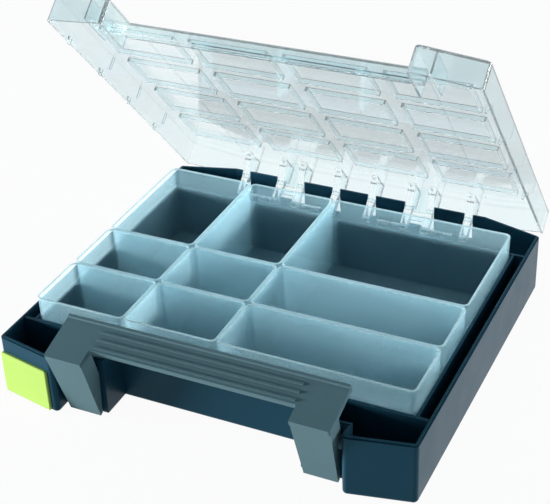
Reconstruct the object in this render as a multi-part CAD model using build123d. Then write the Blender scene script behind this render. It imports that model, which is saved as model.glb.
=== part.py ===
from build123d import *
import math
import os

os.makedirs("parts", exist_ok=True)

# Sizes in millimetres. The origin is the centre of the case bottom, X runs right,
# the front with the handle is -Y and Z is up.

# Case outline seen from above
case_width = 241.0
case_depth = 225.0
front_cut = 7.7
rear_cut = 10.0
block_inset = 37.6
rear_inset = 36.0
wall = 2.0
floor = 2.0
rim_z = 37.0
step_width = 0.9
step_drop = 0.9
bottom_round = 2.2
corner_round = 2.0
tip_round = 2.6

# Handle recess in the case front
recess_depth = 28.1
recess_inset = 2.3
shoulder_depth = 10.0

# Room left round the insert pocket
side_gap = 5.9
channel_depth = 31.6
pocket_clearance = 0.3
divider = 1.5
divider_drop = 0.6
pocket_step = 1.0

# Inserts
insert_height = 47.0
insert_wall = 1.1
insert_floor = 1.3
insert_gap = 0.3
insert_taper = 1.0
insert_corner = 3.0
insert_foot_round = 1.0
under_insert = 0.2
gate_radius = 2.6
gate_height = 0.7

# Lid, drawn closed and then turned to the photographed angle
lid_wall = 1.6
lid_plate = 1.6
lid_seat = 0.15
lid_over_insert = 0.2
lid_round = 1.4
ear_offset = 0.5
ear_round = 3.0
front_wall_clearance = 0.5
front_wall_height = 9.0
catch_depth = 2.8
catch_thick = 1.5
ridge_width = 1.2
ridge_height = 2.6
ridge_offset_x = 4.4
ridge_offset_y = 5.3
rail_inset = 1.6
rail_end_gap = 6.0
rail_width = 1.0
rail_height = 0.7
rib_thick = 1.0
rib_depth = 1.2
ear_rib_offset = 10.9
nub_length = 2.2
nub_reach = 2.0
nub_thick = 1.0
nub_clearance = 0.3
rear_skirt_lift = 0.85
lid_open = 48.85

# Hinge between case and lid
hinge_inset = 10.0
hinge_drop = 12.0
hinge_edge = 45.2
hinge_middle_gap = 24.2
hinge_shift = -1.5
pin_radius = 1.3
pin_clearance = 0.05
eye_radius = 2.7
narrow_arm = 4.4
wide_arm = 18.0
wide_rib = 4.4
web_thick = 1.5
gusset = 7.0
slot_clearance = 0.6
slot_drop = 5.2
lug_width = 4.0
knob_width = 7.4
lug_gap = 0.5

# Handle, drawn closed and then turned to the photographed angle
handle_out = 1.5
handle_step = 3.6
handle_bottom = 2.3
plate_gap = 0.3
plate_thick = 3.4
plate_round = 1.2
plate_chamfer = 0.8
far_lip_width = 2.8
far_lip_height = 0.6
face_inset = 0.5
face_thick = 2.4
flange_thick = 2.0
leg_gap = 1.7
leg_width = 22.0
leg_taper_outer = 2.2
leg_taper_inner = 0.7
flange_depth = 11.0
foot_depth = 2.6
notch_depth = 10.2
pivot_back = 8.3
pivot_drop = 10.2
trunnion_radius = 2.6
trunnion_clearance = 0.06
trunnion_bite = 3.6
boss_radius = 5.4
boss_thick = 2.4
handle_lean = 17.3
grip_rib_width = 1.3
grip_rib_height = 0.6
grip_rib_pitch = 5.0
grip_rib_start = 1.6
grip_rib_inset = 1.0

# Corner tag
tag_inner = 4.7
tag_low = 0.9
tag_high = 27.0
tag_thick = 2.7
tag_sink = 1.3
tag_gap = 0.25
tag_round = 1.2
tag_backing = 1.6

half_width = case_width / 2
half_depth = case_depth / 2
front_side = half_depth - front_cut
rear_side = half_depth - rear_cut
block_half = half_width - block_inset
rear_half = half_width - rear_inset
recess_y = half_depth - recess_depth
shoulder_y = half_depth - shoulder_depth
pocket_half = half_width - wall - side_gap - divider
block_x = pocket_half - pocket_clearance
unit_x = block_x / 2
insert_front = -(recess_y - wall - pocket_clearance)
insert_back = half_depth - wall - channel_depth - divider - pocket_clearance
unit_y = (insert_back - insert_front) / 4
lid_bottom = rim_z + lid_seat
insert_bottom = floor + pocket_step + under_insert
insert_top = insert_bottom + insert_height
plate_under = insert_top + lid_over_insert
lid_top = plate_under + lid_plate
ear_half = block_half + ear_offset
lid_front = -insert_front + front_wall_clearance + lid_wall
hinge_y = half_depth - hinge_inset
hinge_z = rim_z - hinge_drop
hinge_spacing = (half_width - hinge_edge - hinge_middle_gap / 2) / 2
hinge_centre = hinge_middle_gap / 2 + hinge_spacing
pin_span = 2 * hinge_spacing + narrow_arm
handle_face = half_depth + handle_out
handle_top = lid_top - handle_step
leg_outer = block_half - leg_gap
leg_inner = leg_outer - leg_width
leg_outer_low = leg_outer - leg_taper_outer
leg_inner_low = leg_inner + leg_taper_inner
recess_half = leg_inner - recess_inset
pivot_y = handle_face - pivot_back
pivot_z = rim_z - pivot_drop


def prism(points, low, high):
    """A closed polygon seen from above, raised from low to high."""
    face = make_face(Polyline(*points, close=True))
    return extrude(Pos(0, 0, low) * face, high - low)


def side_prism(points, low, high):
    """A polygon of (y, z) points, run along X from low to high."""
    face = make_face(Polyline(*[(0, y, z) for y, z in points], close=True))
    return extrude(Pos(low, 0, 0) * face, high - low, dir=(1, 0, 0))


def block(x0, x1, y0, y1, z0, z1):
    """A box from its limits."""
    centre = Pos((x0 + x1) / 2, (y0 + y1) / 2, (z0 + z1) / 2)
    return centre * Box(abs(x1 - x0), abs(y1 - y0), abs(z1 - z0))


def rod(x0, x1, y, z, radius):
    """A cylinder along X."""
    return Pos((x0 + x1) / 2, y, z) * Rot(0, 90, 0) * Cylinder(radius, abs(x1 - x0))


def mirrored(shape):
    """The shape and its mirror image in X."""
    return shape + mirror(shape, Plane.YZ)


def slant(inset, run, rise):
    """How far the ends of a slanted corner face move when the outline moves in by inset."""
    slope = rise / run
    length = math.hypot(1, slope)
    return slope, inset * (length - slope), inset * (length - 1) / slope


def case_points(inset):
    """Case outline from above, moved in by inset all round."""
    slope, lean, shift = slant(inset, block_inset, front_cut)
    rear_slope, rear_lean, rear_shift = slant(inset, rear_inset, rear_cut)
    cheek = block_half + inset
    half = [
        (rear_half - rear_shift, half_depth - inset),
        (half_width - inset, rear_side - rear_lean),
        (half_width - inset, -front_side + lean),
        (cheek, -half_depth + inset * math.hypot(1, slope) + slope * inset),
        (cheek, -shoulder_y + inset),
        (recess_half + inset, -shoulder_y + inset),
        (recess_half + inset, -recess_y + inset),
    ]
    left = [(-x, y) for x, y in reversed(half)]
    return half + left


def corner_face():
    """Plane on the left front corner face, from its outer edge: X inward, Y up, Z out."""
    length = math.hypot(block_inset, front_cut)
    along = (block_inset / length, -front_cut / length, 0)
    normal = (-front_cut / length, -block_inset / length, 0)
    return Plane(origin=(-half_width, -front_side, 0), x_dir=along, z_dir=normal), length


def hinge_arms():
    """Centres and widths of the lid's arms, as (x, width)."""
    arms = []
    for side in (-1, 1):
        middle = side * hinge_centre + hinge_shift
        arms.append((middle - hinge_spacing, narrow_arm))
        arms.append((middle, wide_arm))
        arms.append((middle + hinge_spacing, narrow_arm))
    return arms


def rounded_case(inset, low, high):
    """The case outline moved in by inset, with its outer corners and front tips rounded."""
    body = prism(case_points(inset), low, high)
    upright = body.edges().filter_by(Axis.Z)
    tips = [e for e in upright if e.center().Y < -shoulder_y - inset - 1]
    body = fillet(tips, tip_round - inset)
    upright = body.edges().filter_by(Axis.Z)
    corners = [e for e in upright if e.center().Y > 0 or abs(e.center().X) > half_width - inset - 1]
    return fillet(corners, corner_round - inset)


def make_case():
    outer = rounded_case(0, 0, rim_z)
    outer = fillet(outer.edges().group_by(Axis.Z)[0], bottom_round)
    lip = rounded_case(step_width, rim_z - step_drop, rim_z + 1)
    crown = block(-case_width, case_width, -case_depth, case_depth, rim_z - step_drop, rim_z + 1)
    outer = outer - (crown - lip)
    body = outer - prism(case_points(wall), floor, rim_z + 1)

    # Walls round the insert pocket, and its raised floor
    top = rim_z - divider_drop
    reach = half_width - wall
    body += block(-reach, reach, -recess_y, -recess_y + wall, floor, top)
    rear = insert_back + pocket_clearance
    body += block(-reach, reach, rear, rear + divider, floor, top)
    body += mirrored(block(pocket_half, pocket_half + divider, -recess_y + wall, rear, floor, top))

    body += block(-pocket_half, pocket_half, -recess_y + wall, rear, floor, floor + pocket_step)

    body = add_hinge_lugs(body)
    body = cut_tag_seat(body)
    return add_handle_bores(body)


def add_hinge_lugs(body):
    inner_rear = half_depth - wall
    for x, width in hinge_arms():
        low = x - width / 2 - slot_clearance
        high = x + width / 2 + slot_clearance
        body -= block(low, high, inner_rear - 0.5, half_depth + 1, hinge_z - slot_drop, rim_z + 1)
    for side in (-1, 1):
        middle = side * hinge_centre + hinge_shift
        end = hinge_spacing - narrow_arm / 2 - lug_gap - lug_width / 2
        for x, width in ((middle - end, lug_width), (middle, knob_width), (middle + end, lug_width)):
            post = block(x - width / 2, x + width / 2, hinge_y - eye_radius, inner_rear,
                         floor, hinge_z - slot_drop)
            post += block(x - width / 2, x + width / 2, hinge_y - eye_radius,
                          hinge_y + eye_radius, floor, hinge_z)
            post += rod(x - width / 2, x + width / 2, hinge_y, hinge_z, eye_radius)
            body += post
        body -= rod(middle - pin_span / 2, middle + pin_span / 2, hinge_y, hinge_z, pin_radius)
    return body


def add_handle_bores(body):
    boss = rod(block_half + wall, block_half + wall + boss_thick, -pivot_y, pivot_z, boss_radius)
    inside = prism(case_points(wall), floor, rim_z)
    body += mirrored(boss & inside)
    reach = block_half + wall + boss_thick + 1
    bore = rod(block_half - 1, reach, -pivot_y, pivot_z, trunnion_radius + trunnion_clearance)
    return body - mirrored(bore)


def cut_tag_seat(body):
    frame, length = corner_face()
    backing = block(0, length - tag_inner + tag_backing, tag_low - tag_backing,
                    tag_high + tag_backing, -wall - tag_backing, -wall / 2)
    inside = prism(case_points(wall / 2), floor / 2, rim_z - step_drop)
    body += (frame * backing) & inside
    seat = block(-wall - tag_thick, length - tag_inner + tag_gap, tag_low - tag_gap,
                 tag_high + tag_gap, -tag_sink, tag_sink)
    return body - frame * seat


def make_tag():
    frame, length = corner_face()
    plate = block(0, length - tag_inner, tag_low, tag_high, -tag_sink, tag_thick - tag_sink)
    plate = fillet(plate.edges().filter_by(Axis.Z), tag_round)
    plate = chamfer(plate.faces().sort_by(Axis.Z)[-1].edges(), 0.4)
    return frame * plate


def make_insert(col, row, cols, rows):
    """One tapered box, open at the top, standing on its own cells of the grid."""
    width = cols * unit_x - insert_gap
    depth = rows * unit_y - insert_gap
    shrink = 2 * insert_height * math.tan(math.radians(insert_taper))
    foot = RectangleRounded(width - shrink, depth - shrink, insert_corner)
    body = extrude(foot, insert_height, taper=-insert_taper)
    body = fillet(body.edges().group_by(Axis.Z)[0], insert_foot_round)
    rise = insert_height - insert_floor
    gain = shrink * insert_floor / insert_height - 2 * insert_wall
    well = RectangleRounded(width - shrink + gain, depth - shrink + gain, insert_corner - insert_wall)
    body -= Pos(0, 0, insert_floor) * extrude(well, rise + 1, taper=-insert_taper)
    body += Pos(0, 0, insert_floor + gate_height / 2 - 0.1) * Cylinder(gate_radius, gate_height + 0.2)
    x = -block_x + (col + cols / 2) * unit_x
    y = insert_front + (row + rows / 2) * unit_y
    return Pos(x, y, insert_bottom) * body


def lid_points(inset):
    """Lid outline from above, moved in by inset all round."""
    slope, lean, shift = slant(inset, block_inset, front_cut)
    rear_slope, rear_lean, rear_shift = slant(inset, rear_inset, rear_cut)
    cheek = ear_half + inset
    half = [
        (rear_half - rear_shift, half_depth - inset),
        (half_width - inset, rear_side - rear_lean),
        (half_width - inset, -front_side + lean),
        (cheek, -half_depth + slope * (cheek - block_half) + inset * math.hypot(1, slope)),
        (cheek, -lid_front + inset),
    ]
    left = [(-x, y) for x, y in reversed(half)]
    return half + left


def lid_shell():
    outer = prism(lid_points(0), lid_bottom, lid_top)
    upright = outer.edges().filter_by(Axis.Z)
    ears = [e for e in upright if e.center().Y < -lid_front - 5 or abs(e.center().X) > half_width - 1]
    outer = fillet(ears, ear_round)
    outer = fillet(outer.edges().group_by(Axis.Z)[-1], lid_round)
    shell = outer - prism(lid_points(lid_wall), lid_bottom - 1, plate_under)
    # The low front wall of the handle recess, and the raised skirt at the rear
    low = lid_top - front_wall_height
    inner = ear_half
    shell -= block(-inner, inner, -lid_front - 1, -lid_front + lid_wall, lid_bottom - 1, low)
    behind = hinge_y - 1
    shell -= block(-case_width, case_width, behind, case_depth, lid_bottom - 1,
                   lid_bottom + rear_skirt_lift)
    return shell


def lid_ridges():
    """A low frame under the plate for each cell of the insert grid."""
    frames = []
    for col in range(4):
        for row in range(4):
            x0 = -block_x + col * unit_x + ridge_offset_x
            x1 = x0 + unit_x - 2 * ridge_offset_x
            y0 = insert_front + row * unit_y + ridge_offset_y
            y1 = y0 + unit_y - 2 * ridge_offset_y
            low = plate_under - ridge_height
            frame = block(x0, x1, y0, y1, low, plate_under)
            frame -= block(x0 + ridge_width, x1 - ridge_width, y0 + ridge_width,
                           y1 - ridge_width, low - 1, plate_under + 1)
            frames.append(frame)
    return frames


def lid_side_ribs():
    """Short uprights and rim nubs on the side walls, one per row of the grid."""
    ribs = []
    inner = half_width - lid_wall
    nub_outer = half_width - wall - nub_clearance
    for row in range(4):
        y = insert_front + row * unit_y
        nub = block(nub_outer - nub_thick, nub_outer, y, y + nub_length,
                    lid_bottom - nub_reach, lid_bottom + nub_length)
        nub += block(nub_outer - nub_thick, inner + lid_wall / 2, y, y + nub_length,
                     lid_bottom + lid_seat, lid_bottom + nub_length)
        ribs.append(nub)
        if row > 0:
            y = y + unit_y / 4
            ribs.append(block(inner - rib_depth, inner + lid_wall / 2, y, y + rib_thick,
                              lid_top - front_wall_height, plate_under + lid_plate / 2))
    rib_x = ear_half + ear_rib_offset
    tip = half_depth - (rib_x - block_half) * front_cut / block_inset
    ribs.append(block(rib_x, rib_x + rib_thick, -tip + lid_wall / 2, -lid_front,
                      lid_bottom + 2 * rib_thick, plate_under + lid_plate / 2))
    return ribs


def lid_arms():
    """Arms that hang from the plate to the hinge pins, wider towards the plate."""
    arms = []
    front = hinge_y - eye_radius
    back = hinge_y + eye_radius
    top = plate_under + lid_plate / 2
    brace_low = lid_bottom + 2.4
    inner_rear = half_depth - lid_wall / 2
    profile = [
        (front, hinge_z),
        (back, hinge_z),
        (back, brace_low),
        (inner_rear, brace_low),
        (inner_rear, top),
        (front - gusset, top),
        (front, lid_bottom),
    ]
    for x, width in hinge_arms():
        if width == wide_arm:
            ribs = [x - (width - wide_rib) / 2, x + (width - wide_rib) / 2]
            web = block(x - width / 2, x + width / 2, front, front + web_thick,
                        hinge_z + eye_radius + web_thick, top)
            arms.append(web)
        else:
            ribs = [x]
        for middle in ribs:
            low = middle - min(width, wide_rib) / 2
            high = middle + min(width, wide_rib) / 2
            arms.append(side_prism(profile, low, high))
            arms.append(rod(low, high, hinge_y, hinge_z, eye_radius))
    return arms


def make_lid():
    lid = lid_shell()
    for frame in lid_ridges():
        lid += frame
    for rib in lid_side_ribs():
        lid += mirrored(rib)
    low = lid_top - front_wall_height
    lid += block(-ear_half, ear_half, -lid_front - catch_depth, -lid_front + lid_wall / 2,
                 low, low + catch_thick)
    rail_x = ear_half - rail_inset
    rail = block(rail_x - rail_width / 2, rail_x + rail_width / 2, -lid_front + rail_end_gap / 2,
                 rear_side - rail_end_gap, lid_top - lid_plate / 2, lid_top + rail_height)
    lid += mirrored(rail)
    for arm in lid_arms():
        lid += arm
    for side in (-1, 1):
        middle = side * hinge_centre + hinge_shift
        reach = pin_span / 2 + 1
        lid -= rod(middle - reach, middle + reach, hinge_y, hinge_z, pin_radius + pin_clearance)
    return lid.rotate(Axis((0, hinge_y, hinge_z), (1, 0, 0)), -lid_open)


def make_pins():
    pins = []
    for side in (-1, 1):
        middle = side * hinge_centre + hinge_shift
        pin = rod(middle - pin_span / 2, middle + pin_span / 2, hinge_y, hinge_z, pin_radius)
        pins.append(pin)
    return Compound(children=pins)


def handle_leg():
    """A hollow leg, open at the back, that thins towards its foot."""
    face_y = handle_face - face_inset
    foot_y = handle_face - foot_depth
    back_y = handle_face - flange_depth
    under = handle_top - plate_thick
    profile = [
        (-face_y, handle_bottom),
        (-foot_y, handle_bottom),
        (-back_y, pivot_z),
        (-back_y, under),
        (-face_y, under),
    ]

    def front(inset):
        face = make_face(Polyline(
            (leg_inner + inset, 0, handle_top),
            (leg_outer - inset, 0, handle_top),
            (leg_outer_low - inset, 0, handle_bottom),
            (leg_inner_low + inset, 0, handle_bottom),
            close=True,
        ))
        return extrude(face, 2 * handle_face, dir=(0, -1, 0))

    solid = front(0) & side_prism(profile, leg_inner - leg_width, leg_outer + leg_width)
    hollow = [
        (-face_y + face_thick, handle_bottom - 1),
        (-back_y + 1, handle_bottom - 1),
        (-back_y + 1, under),
        (-face_y + face_thick, under),
    ]
    return solid - (front(flange_thick) & side_prism(hollow, leg_inner - leg_width, leg_outer + leg_width))


def rounded_slab(width, depth, y, low, high):
    """An upright slab centred on X = 0 and the given y, with rounded corners."""
    return Pos(0, y, low) * extrude(RectangleRounded(width, depth, plate_round), high - low)


def handle_plate():
    """The grip plate with its notch, raised far lip and three low ribs."""
    far = -lid_front - plate_gap
    under = handle_top - plate_thick
    crest = handle_top + far_lip_height
    profile = [
        (-handle_face, under),
        (far - plate_chamfer, under),
        (far, under + plate_chamfer),
        (far, crest - far_lip_height),
        (far - far_lip_height, crest),
        (far - far_lip_width + far_lip_height, crest),
        (far - far_lip_width, handle_top),
        (-handle_face, handle_top),
    ]
    plate = side_prism(profile, -leg_outer, leg_outer)
    middle = (far - handle_face) / 2
    plate &= rounded_slab(2 * leg_outer, far + handle_face, middle, under - 1, crest + 1)
    plate -= rounded_slab(2 * leg_inner, 2 * notch_depth, -handle_face, under - 1, crest + 1)
    for count in range(3):
        y = -handle_face + notch_depth + grip_rib_start + count * grip_rib_pitch
        half = leg_inner - grip_rib_inset
        plate += block(-half, half, y, y + grip_rib_width, handle_top - plate_chamfer,
                       handle_top + grip_rib_height)
    return plate


def make_handle():
    handle = handle_plate() + mirrored(handle_leg())
    reach = block_half + trunnion_bite
    handle += mirrored(rod(leg_outer - flange_thick, reach, -pivot_y, pivot_z, trunnion_radius))
    return handle.rotate(Axis((0, -pivot_y, pivot_z), (1, 0, 0)), handle_lean)


def save(shape, node):
    export_step(shape, "parts/" + node + ".step")
    box = shape.bounding_box()
    solids = len(shape.solids())
    print(node, "solids", solids, "volume", round(shape.volume / 1000, 2), "cm3",
          [round(v, 1) for v in (box.min.X, box.min.Y, box.min.Z, box.max.X, box.max.Y, box.max.Z)])


# Insert nodes, as (name, column, row, columns wide, rows deep), counted from the front left
inserts = [
    ("insert_front_left", 0, 0, 1, 1),
    ("insert_front_middle", 1, 0, 1, 1),
    ("insert_front_wide", 2, 0, 2, 1),
    ("insert_middle_left", 0, 1, 1, 1),
    ("insert_middle_middle", 1, 1, 1, 1),
    ("insert_middle_wide", 2, 1, 2, 1),
    ("insert_back_left", 0, 2, 1, 2),
    ("insert_back_middle", 1, 2, 1, 2),
    ("insert_back_wide", 2, 2, 2, 2),
]

save(make_case(), "case_base")
save(make_lid(), "lid")
save(make_handle(), "handle")
save(make_tag(), "corner_tag")
save(make_pins(), "hinge_pins")
for name, col, row, cols, rows in inserts:
    save(make_insert(col, row, cols, rows), name)
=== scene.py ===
import math

import bpy
import bmesh
from mathutils import Matrix, Vector


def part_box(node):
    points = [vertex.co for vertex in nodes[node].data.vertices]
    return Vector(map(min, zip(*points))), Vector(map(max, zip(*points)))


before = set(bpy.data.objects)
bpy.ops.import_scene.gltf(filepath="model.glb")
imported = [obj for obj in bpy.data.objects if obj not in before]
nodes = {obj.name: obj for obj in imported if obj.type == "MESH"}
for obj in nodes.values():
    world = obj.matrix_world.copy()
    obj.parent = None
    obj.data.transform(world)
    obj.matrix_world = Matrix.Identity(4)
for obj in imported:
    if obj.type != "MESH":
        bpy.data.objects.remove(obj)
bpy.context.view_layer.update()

scene = bpy.context.scene
WHITE = (1.0, 1.0, 1.0)


# Node helpers

def add(tree, kind, sockets):
    """A node whose inputs are each set to a value or linked to another node's output."""
    node = tree.nodes.new(kind)
    for socket, given in sockets.items():
        if isinstance(given, bpy.types.NodeSocket):
            tree.links.new(given, node.inputs[socket])
        else:
            node.inputs[socket].default_value = given
    return node


def noise(tree, scale, detail):
    coord = tree.nodes.new("ShaderNodeTexCoord")
    tex = add(tree, "ShaderNodeTexNoise", {
        "Vector": coord.outputs["Object"], "Scale": scale, "Detail": detail, "Roughness": 0.55})
    return tex.outputs["Fac"]


def drift(tree, fac, dark, light):
    """A colour that wanders between two close tones."""
    node = add(tree, "ShaderNodeValToRGB", {"Fac": fac})
    stops = node.color_ramp.elements
    for stop, position, tone in zip(stops, (0.3, 0.7), (dark, light)):
        stop.position = position
        stop.color = (*tone, 1.0)
    return node.outputs["Color"]


def span(tree, value, low, high, start=0.0, end=1.0):
    """The value's range from start to end, moved to the range from low to high."""
    node = add(tree, "ShaderNodeMapRange", {
        "Value": value, "From Min": start, "From Max": end, "To Min": low, "To Max": high})
    return node.outputs["Result"]


def combine(tree, operation, first, second):
    node = add(tree, "ShaderNodeMath", {0: first, 1: second})
    node.operation = operation
    return node.outputs[0]


def mix(tree, share, first, second):
    """The first shader where the share is 0, the second where it is 1."""
    return add(tree, "ShaderNodeMixShader", {0: share, 1: first, 2: second}).outputs[0]


# Materials

def new_material(name):
    """A material with a Principled shader that is linked to its output."""
    mat = bpy.data.materials.new(name)
    mat.use_nodes = True
    tree = mat.node_tree
    tree.nodes.clear()
    out = tree.nodes.new("ShaderNodeOutputMaterial")
    shader = tree.nodes.new("ShaderNodeBsdfPrincipled")
    tree.links.new(shader.outputs[0], out.inputs[0])
    return mat, tree, shader, out


def bump(tree, shader, height, strength, distance):
    node = add(tree, "ShaderNodeBump", {
        "Strength": strength, "Distance": distance, "Height": height})
    tree.links.new(node.outputs[0], shader.inputs["Normal"])


def moulded(name, dark, light, rough, grain, specular, gloss=WHITE):
    """Opaque moulded plastic with a fine grain and slight colour drift."""
    mat, tree, shader, out = new_material(name)
    colour = drift(tree, noise(tree, scale=14.0, detail=3.0), dark, light)
    tree.links.new(colour, shader.inputs["Base Color"])
    wear = span(tree, noise(tree, scale=60.0, detail=6.0), rough - 0.06, rough + 0.08)
    tree.links.new(wear, shader.inputs["Roughness"])
    shader.inputs["Specular IOR Level"].default_value = specular
    shader.inputs["Specular Tint"].default_value = (*gloss, 1.0)
    bump(tree, shader, noise(tree, scale=1800.0, detail=2.0), grain, distance=0.00006)
    return mat


def clear_plastic(name, tint, ior, rough, grain, veil_colour, veil):
    """Clear moulded plastic: part of it refracts, the veil's share is plainly transparent.

    All of it is transparent to shadow rays, so the light reaches what lies behind.
    """
    mat, tree, shader, out = new_material(name)
    shader.inputs["Transmission Weight"].default_value = 1.0
    shader.inputs["IOR"].default_value = ior
    pale = tuple(min(1.0, channel * 1.03) for channel in tint)
    colour = drift(tree, noise(tree, scale=20.0, detail=3.0), tint, pale)
    tree.links.new(colour, shader.inputs["Base Color"])
    wear = span(tree, noise(tree, scale=45.0, detail=5.0), rough, rough + 0.05)
    tree.links.new(wear, shader.inputs["Roughness"])
    bump(tree, shader, noise(tree, scale=300.0, detail=3.0), grain, distance=0.0001)
    haze = add(tree, "ShaderNodeBsdfTransparent", {0: (*veil_colour, 1.0)})
    path = tree.nodes.new("ShaderNodeLightPath")
    share = span(tree, path.outputs["Is Shadow Ray"], veil, 1.0)
    shown = mix(tree, share, shader.outputs[0], haze.outputs[0])
    tree.links.new(shown, out.inputs[0])
    return mat


def milky_plastic(name, dark, light, rim_highlight_colour, alpha, rim_alpha, rim_z, through):
    """Thin milky plastic that passes light, with a painted highlight: paler and denser along
    the rim.
    """
    mat, tree, shader, out = new_material(name)
    body = drift(tree, noise(tree, scale=25.0, detail=3.0), dark, light)
    wear = span(tree, noise(tree, scale=70.0, detail=5.0), 0.20, 0.34)
    tree.links.new(wear, shader.inputs["Roughness"])
    coord = tree.nodes.new("ShaderNodeTexCoord")
    split = add(tree, "ShaderNodeSeparateXYZ", {0: coord.outputs["Object"]})
    # Painted highlight: the top band of each wall gets a paler colour and more cover, as if the
    # rim caught the light
    rim_highlight_band = span(tree, split.outputs["Z"], 0.0, 1.0, rim_z - 0.0008, rim_z - 0.0001)
    tone = add(tree, "ShaderNodeMixRGB", {
        "Fac": rim_highlight_band, "Color1": body, "Color2": (*rim_highlight_colour, 1.0)}).outputs[0]
    tree.links.new(tone, shader.inputs["Base Color"])
    cover = span(tree, rim_highlight_band, alpha, rim_alpha)
    tree.links.new(cover, shader.inputs["Alpha"])
    bump(tree, shader, noise(tree, scale=240.0, detail=3.0), 0.15, distance=0.0002)
    clear = tree.nodes.new("ShaderNodeBsdfTransparent")
    lit = add(tree, "ShaderNodeBsdfTranslucent", {"Color": tone})
    glow = mix(tree, cover, clear.outputs[0], lit.outputs[0])
    both = mix(tree, through, shader.outputs[0], glow)
    tree.links.new(both, out.inputs[0])
    return mat


def steel(name):
    """Lightly worn steel."""
    mat, tree, shader, out = new_material(name)
    shader.inputs["Metallic"].default_value = 1.0
    wear = noise(tree, scale=200.0, detail=4.0)
    colour = drift(tree, wear, (0.55, 0.56, 0.58), (0.72, 0.73, 0.75))
    tree.links.new(colour, shader.inputs["Base Color"])
    tree.links.new(span(tree, wear, 0.22, 0.34), shader.inputs["Roughness"])
    bump(tree, shader, noise(tree, scale=900.0, detail=2.0), 0.1, distance=0.00005)
    return mat


paint = {
    "case_base": moulded(
        "case_navy", (0.008, 0.043, 0.071), (0.011, 0.050, 0.081),
        rough=0.34, grain=0.25, specular=0.14, gloss=(0.30, 0.85, 1.00)),
    "handle": moulded(
        "handle_grey", (0.100, 0.176, 0.201), (0.112, 0.192, 0.218),
        rough=0.52, grain=0.35, specular=0.08),
    "corner_tag": moulded(
        "tag_lime", (0.388, 0.573, 0.112), (0.412, 0.598, 0.126),
        rough=0.42, grain=0.15, specular=0.2),
    "lid": clear_plastic(
        "lid_clear", tint=(0.88, 0.972, 1.0), ior=1.48, rough=0.010, grain=0.05,
        veil_colour=(0.92, 0.98, 1.0), veil=0.12),
    "hinge_pins": steel("pin_steel"),
}
insert_mat = milky_plastic(
    # The insert rim colour is a painted highlight along the top of the walls
    "insert_milky", (0.58, 0.88, 0.98), (0.64, 0.91, 0.99), rim_highlight_colour=(0.80, 0.95, 0.98),
    alpha=0.25, rim_alpha=0.9, rim_z=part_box("insert_front_left")[1][2], through=0.6)

# Bevel widths in metres, for the nodes with edges that catch the light
bevels = {"case_base": 0.00035, "handle": 0.0004, "corner_tag": 0.0002, "lid": 0.0002}
for name, obj in nodes.items():
    obj.data.materials.clear()
    obj.data.materials.append(paint.get(name, insert_mat))
    if name in bevels:
        edge = obj.modifiers.new("edge_round", "BEVEL")
        edge.width = bevels[name]
        edge.segments = 2
        edge.limit_method = "ANGLE"
        edge.angle_limit = math.radians(50.0)
        edge.harden_normals = True


# Camera, fitted to the photograph

PHOTO_WIDTH = 550.0    # pixels
FOCAL_LENGTH = 1383.96    # pixels
SENSOR_WIDTH = 36.0    # mm
RIGHT = Vector((0.9046179, 0.4246122, -0.0370255))
DOWN = Vector((0.1975570, -0.4946844, -0.8463206))
AHEAD = Vector((-0.3776740, 0.7582821, -0.5313854))
CAMERA_PLACE = (0.28977, -0.58882, 0.46936)

cam_data = bpy.data.cameras.new("camera")
cam = bpy.data.objects.new("camera", cam_data)
scene.collection.objects.link(cam)
cam_data.sensor_fit = "HORIZONTAL"
cam_data.sensor_width = SENSOR_WIDTH
cam_data.lens = SENSOR_WIDTH * FOCAL_LENGTH / PHOTO_WIDTH
cam_data.clip_start = 0.01
cam_data.clip_end = 20.0
turn = Matrix((RIGHT, -DOWN, -AHEAD)).transposed().to_4x4()
cam.matrix_world = Matrix.Translation(CAMERA_PLACE) @ turn
scene.camera = cam


# Floor

def stage_material(name):
    """A pale floor, which camera, glossy and transmission rays see as white, faintly shaded."""
    mat, tree, shader, out = new_material(name)
    shader.inputs["Base Color"].default_value = (0.86, 0.87, 0.88, 1.0)
    shader.inputs["Roughness"].default_value = 0.9
    shader.inputs["Specular IOR Level"].default_value = 0.0
    glow = add(tree, "ShaderNodeEmission", {"Color": (*WHITE, 1.0), "Strength": 1.0})
    path = tree.nodes.new("ShaderNodeLightPath").outputs
    seen = combine(tree, "MAXIMUM", path["Is Camera Ray"], path["Is Glossy Ray"])
    seen = combine(tree, "MAXIMUM", seen, path["Is Transmission Ray"])
    share = span(tree, seen, 0.22, 0.95)
    tree.links.new(mix(tree, share, shader.outputs[0], glow.outputs[0]), out.inputs[0])
    return mat


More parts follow.
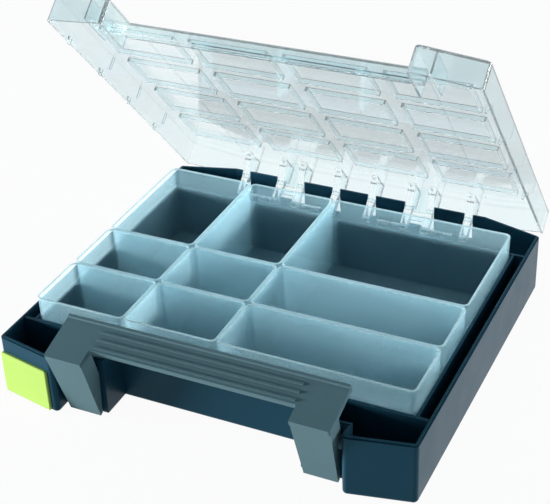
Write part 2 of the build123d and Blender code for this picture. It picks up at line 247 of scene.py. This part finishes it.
floor_mesh = bpy.data.meshes.new("floor")
floor_bm = bmesh.new()
bmesh.ops.create_grid(floor_bm, x_segments=8, y_segments=8, size=4.0)
floor_bm.to_mesh(floor_mesh)
floor_bm.free()
floor = bpy.data.objects.new("floor", floor_mesh)
floor.location = (0.0, 0.0, -0.0002)
floor.data.materials.append(stage_material("floor_white"))
scene.collection.objects.link(floor)


# Lamps

def lamp(name, place, target, size, watts):
    data = bpy.data.lights.new(name, "AREA")
    data.shape = "RECTANGLE"
    data.size, data.size_y = size
    data.energy = watts
    obj = bpy.data.objects.new(name, data)
    obj.location = place
    aim = Vector(target) - Vector(place)
    obj.rotation_euler = aim.to_track_quat("-Z", "Y").to_euler()
    scene.collection.objects.link(obj)


lamp("left_low", (-1.45, -0.66, 0.14), (0.0, 0.0, 0.03), size=(0.8, 0.22), watts=48.0)
lamp("front_low", (-0.2, -1.6, 0.12), (0.0, 0.0, 0.02), size=(1.0, 0.2), watts=1.2)
lamp("right_rear", (1.30, 0.80, 0.30), (0.0, 0.0, 0.03), size=(0.8, 0.4), watts=16.0)


# World: soft blue light, and a white background that is dimmer towards the top in
# reflections and through clear plastic

world = bpy.data.worlds.new("world")
scene.world = world
world.use_nodes = True
wt = world.node_tree
wt.nodes.clear()
w_out = wt.nodes.new("ShaderNodeOutputWorld")
soft = add(wt, "ShaderNodeBackground", {0: (0.55, 0.85, 1.0, 1.0), 1: 0.24})
white = add(wt, "ShaderNodeBackground", {0: (*WHITE, 1.0), 1: 1.0})
w_path = wt.nodes.new("ShaderNodeLightPath").outputs
w_coord = wt.nodes.new("ShaderNodeTexCoord")
w_split = add(wt, "ShaderNodeSeparateXYZ", {0: w_coord.outputs["Generated"]})
w_low = span(wt, w_split.outputs["Z"], 1.0, 0.35, 0.25, 0.65)
w_seen = combine(wt, "MAXIMUM", w_path["Is Transmission Ray"], w_path["Is Glossy Ray"])
w_through = combine(wt, "MULTIPLY", w_seen, w_low)
w_share = combine(wt, "MAXIMUM", w_path["Is Camera Ray"], w_through)
wt.links.new(mix(wt, w_share, soft.outputs[0], white.outputs[0]), w_out.inputs[0])

scene.view_settings.view_transform = "Standard"
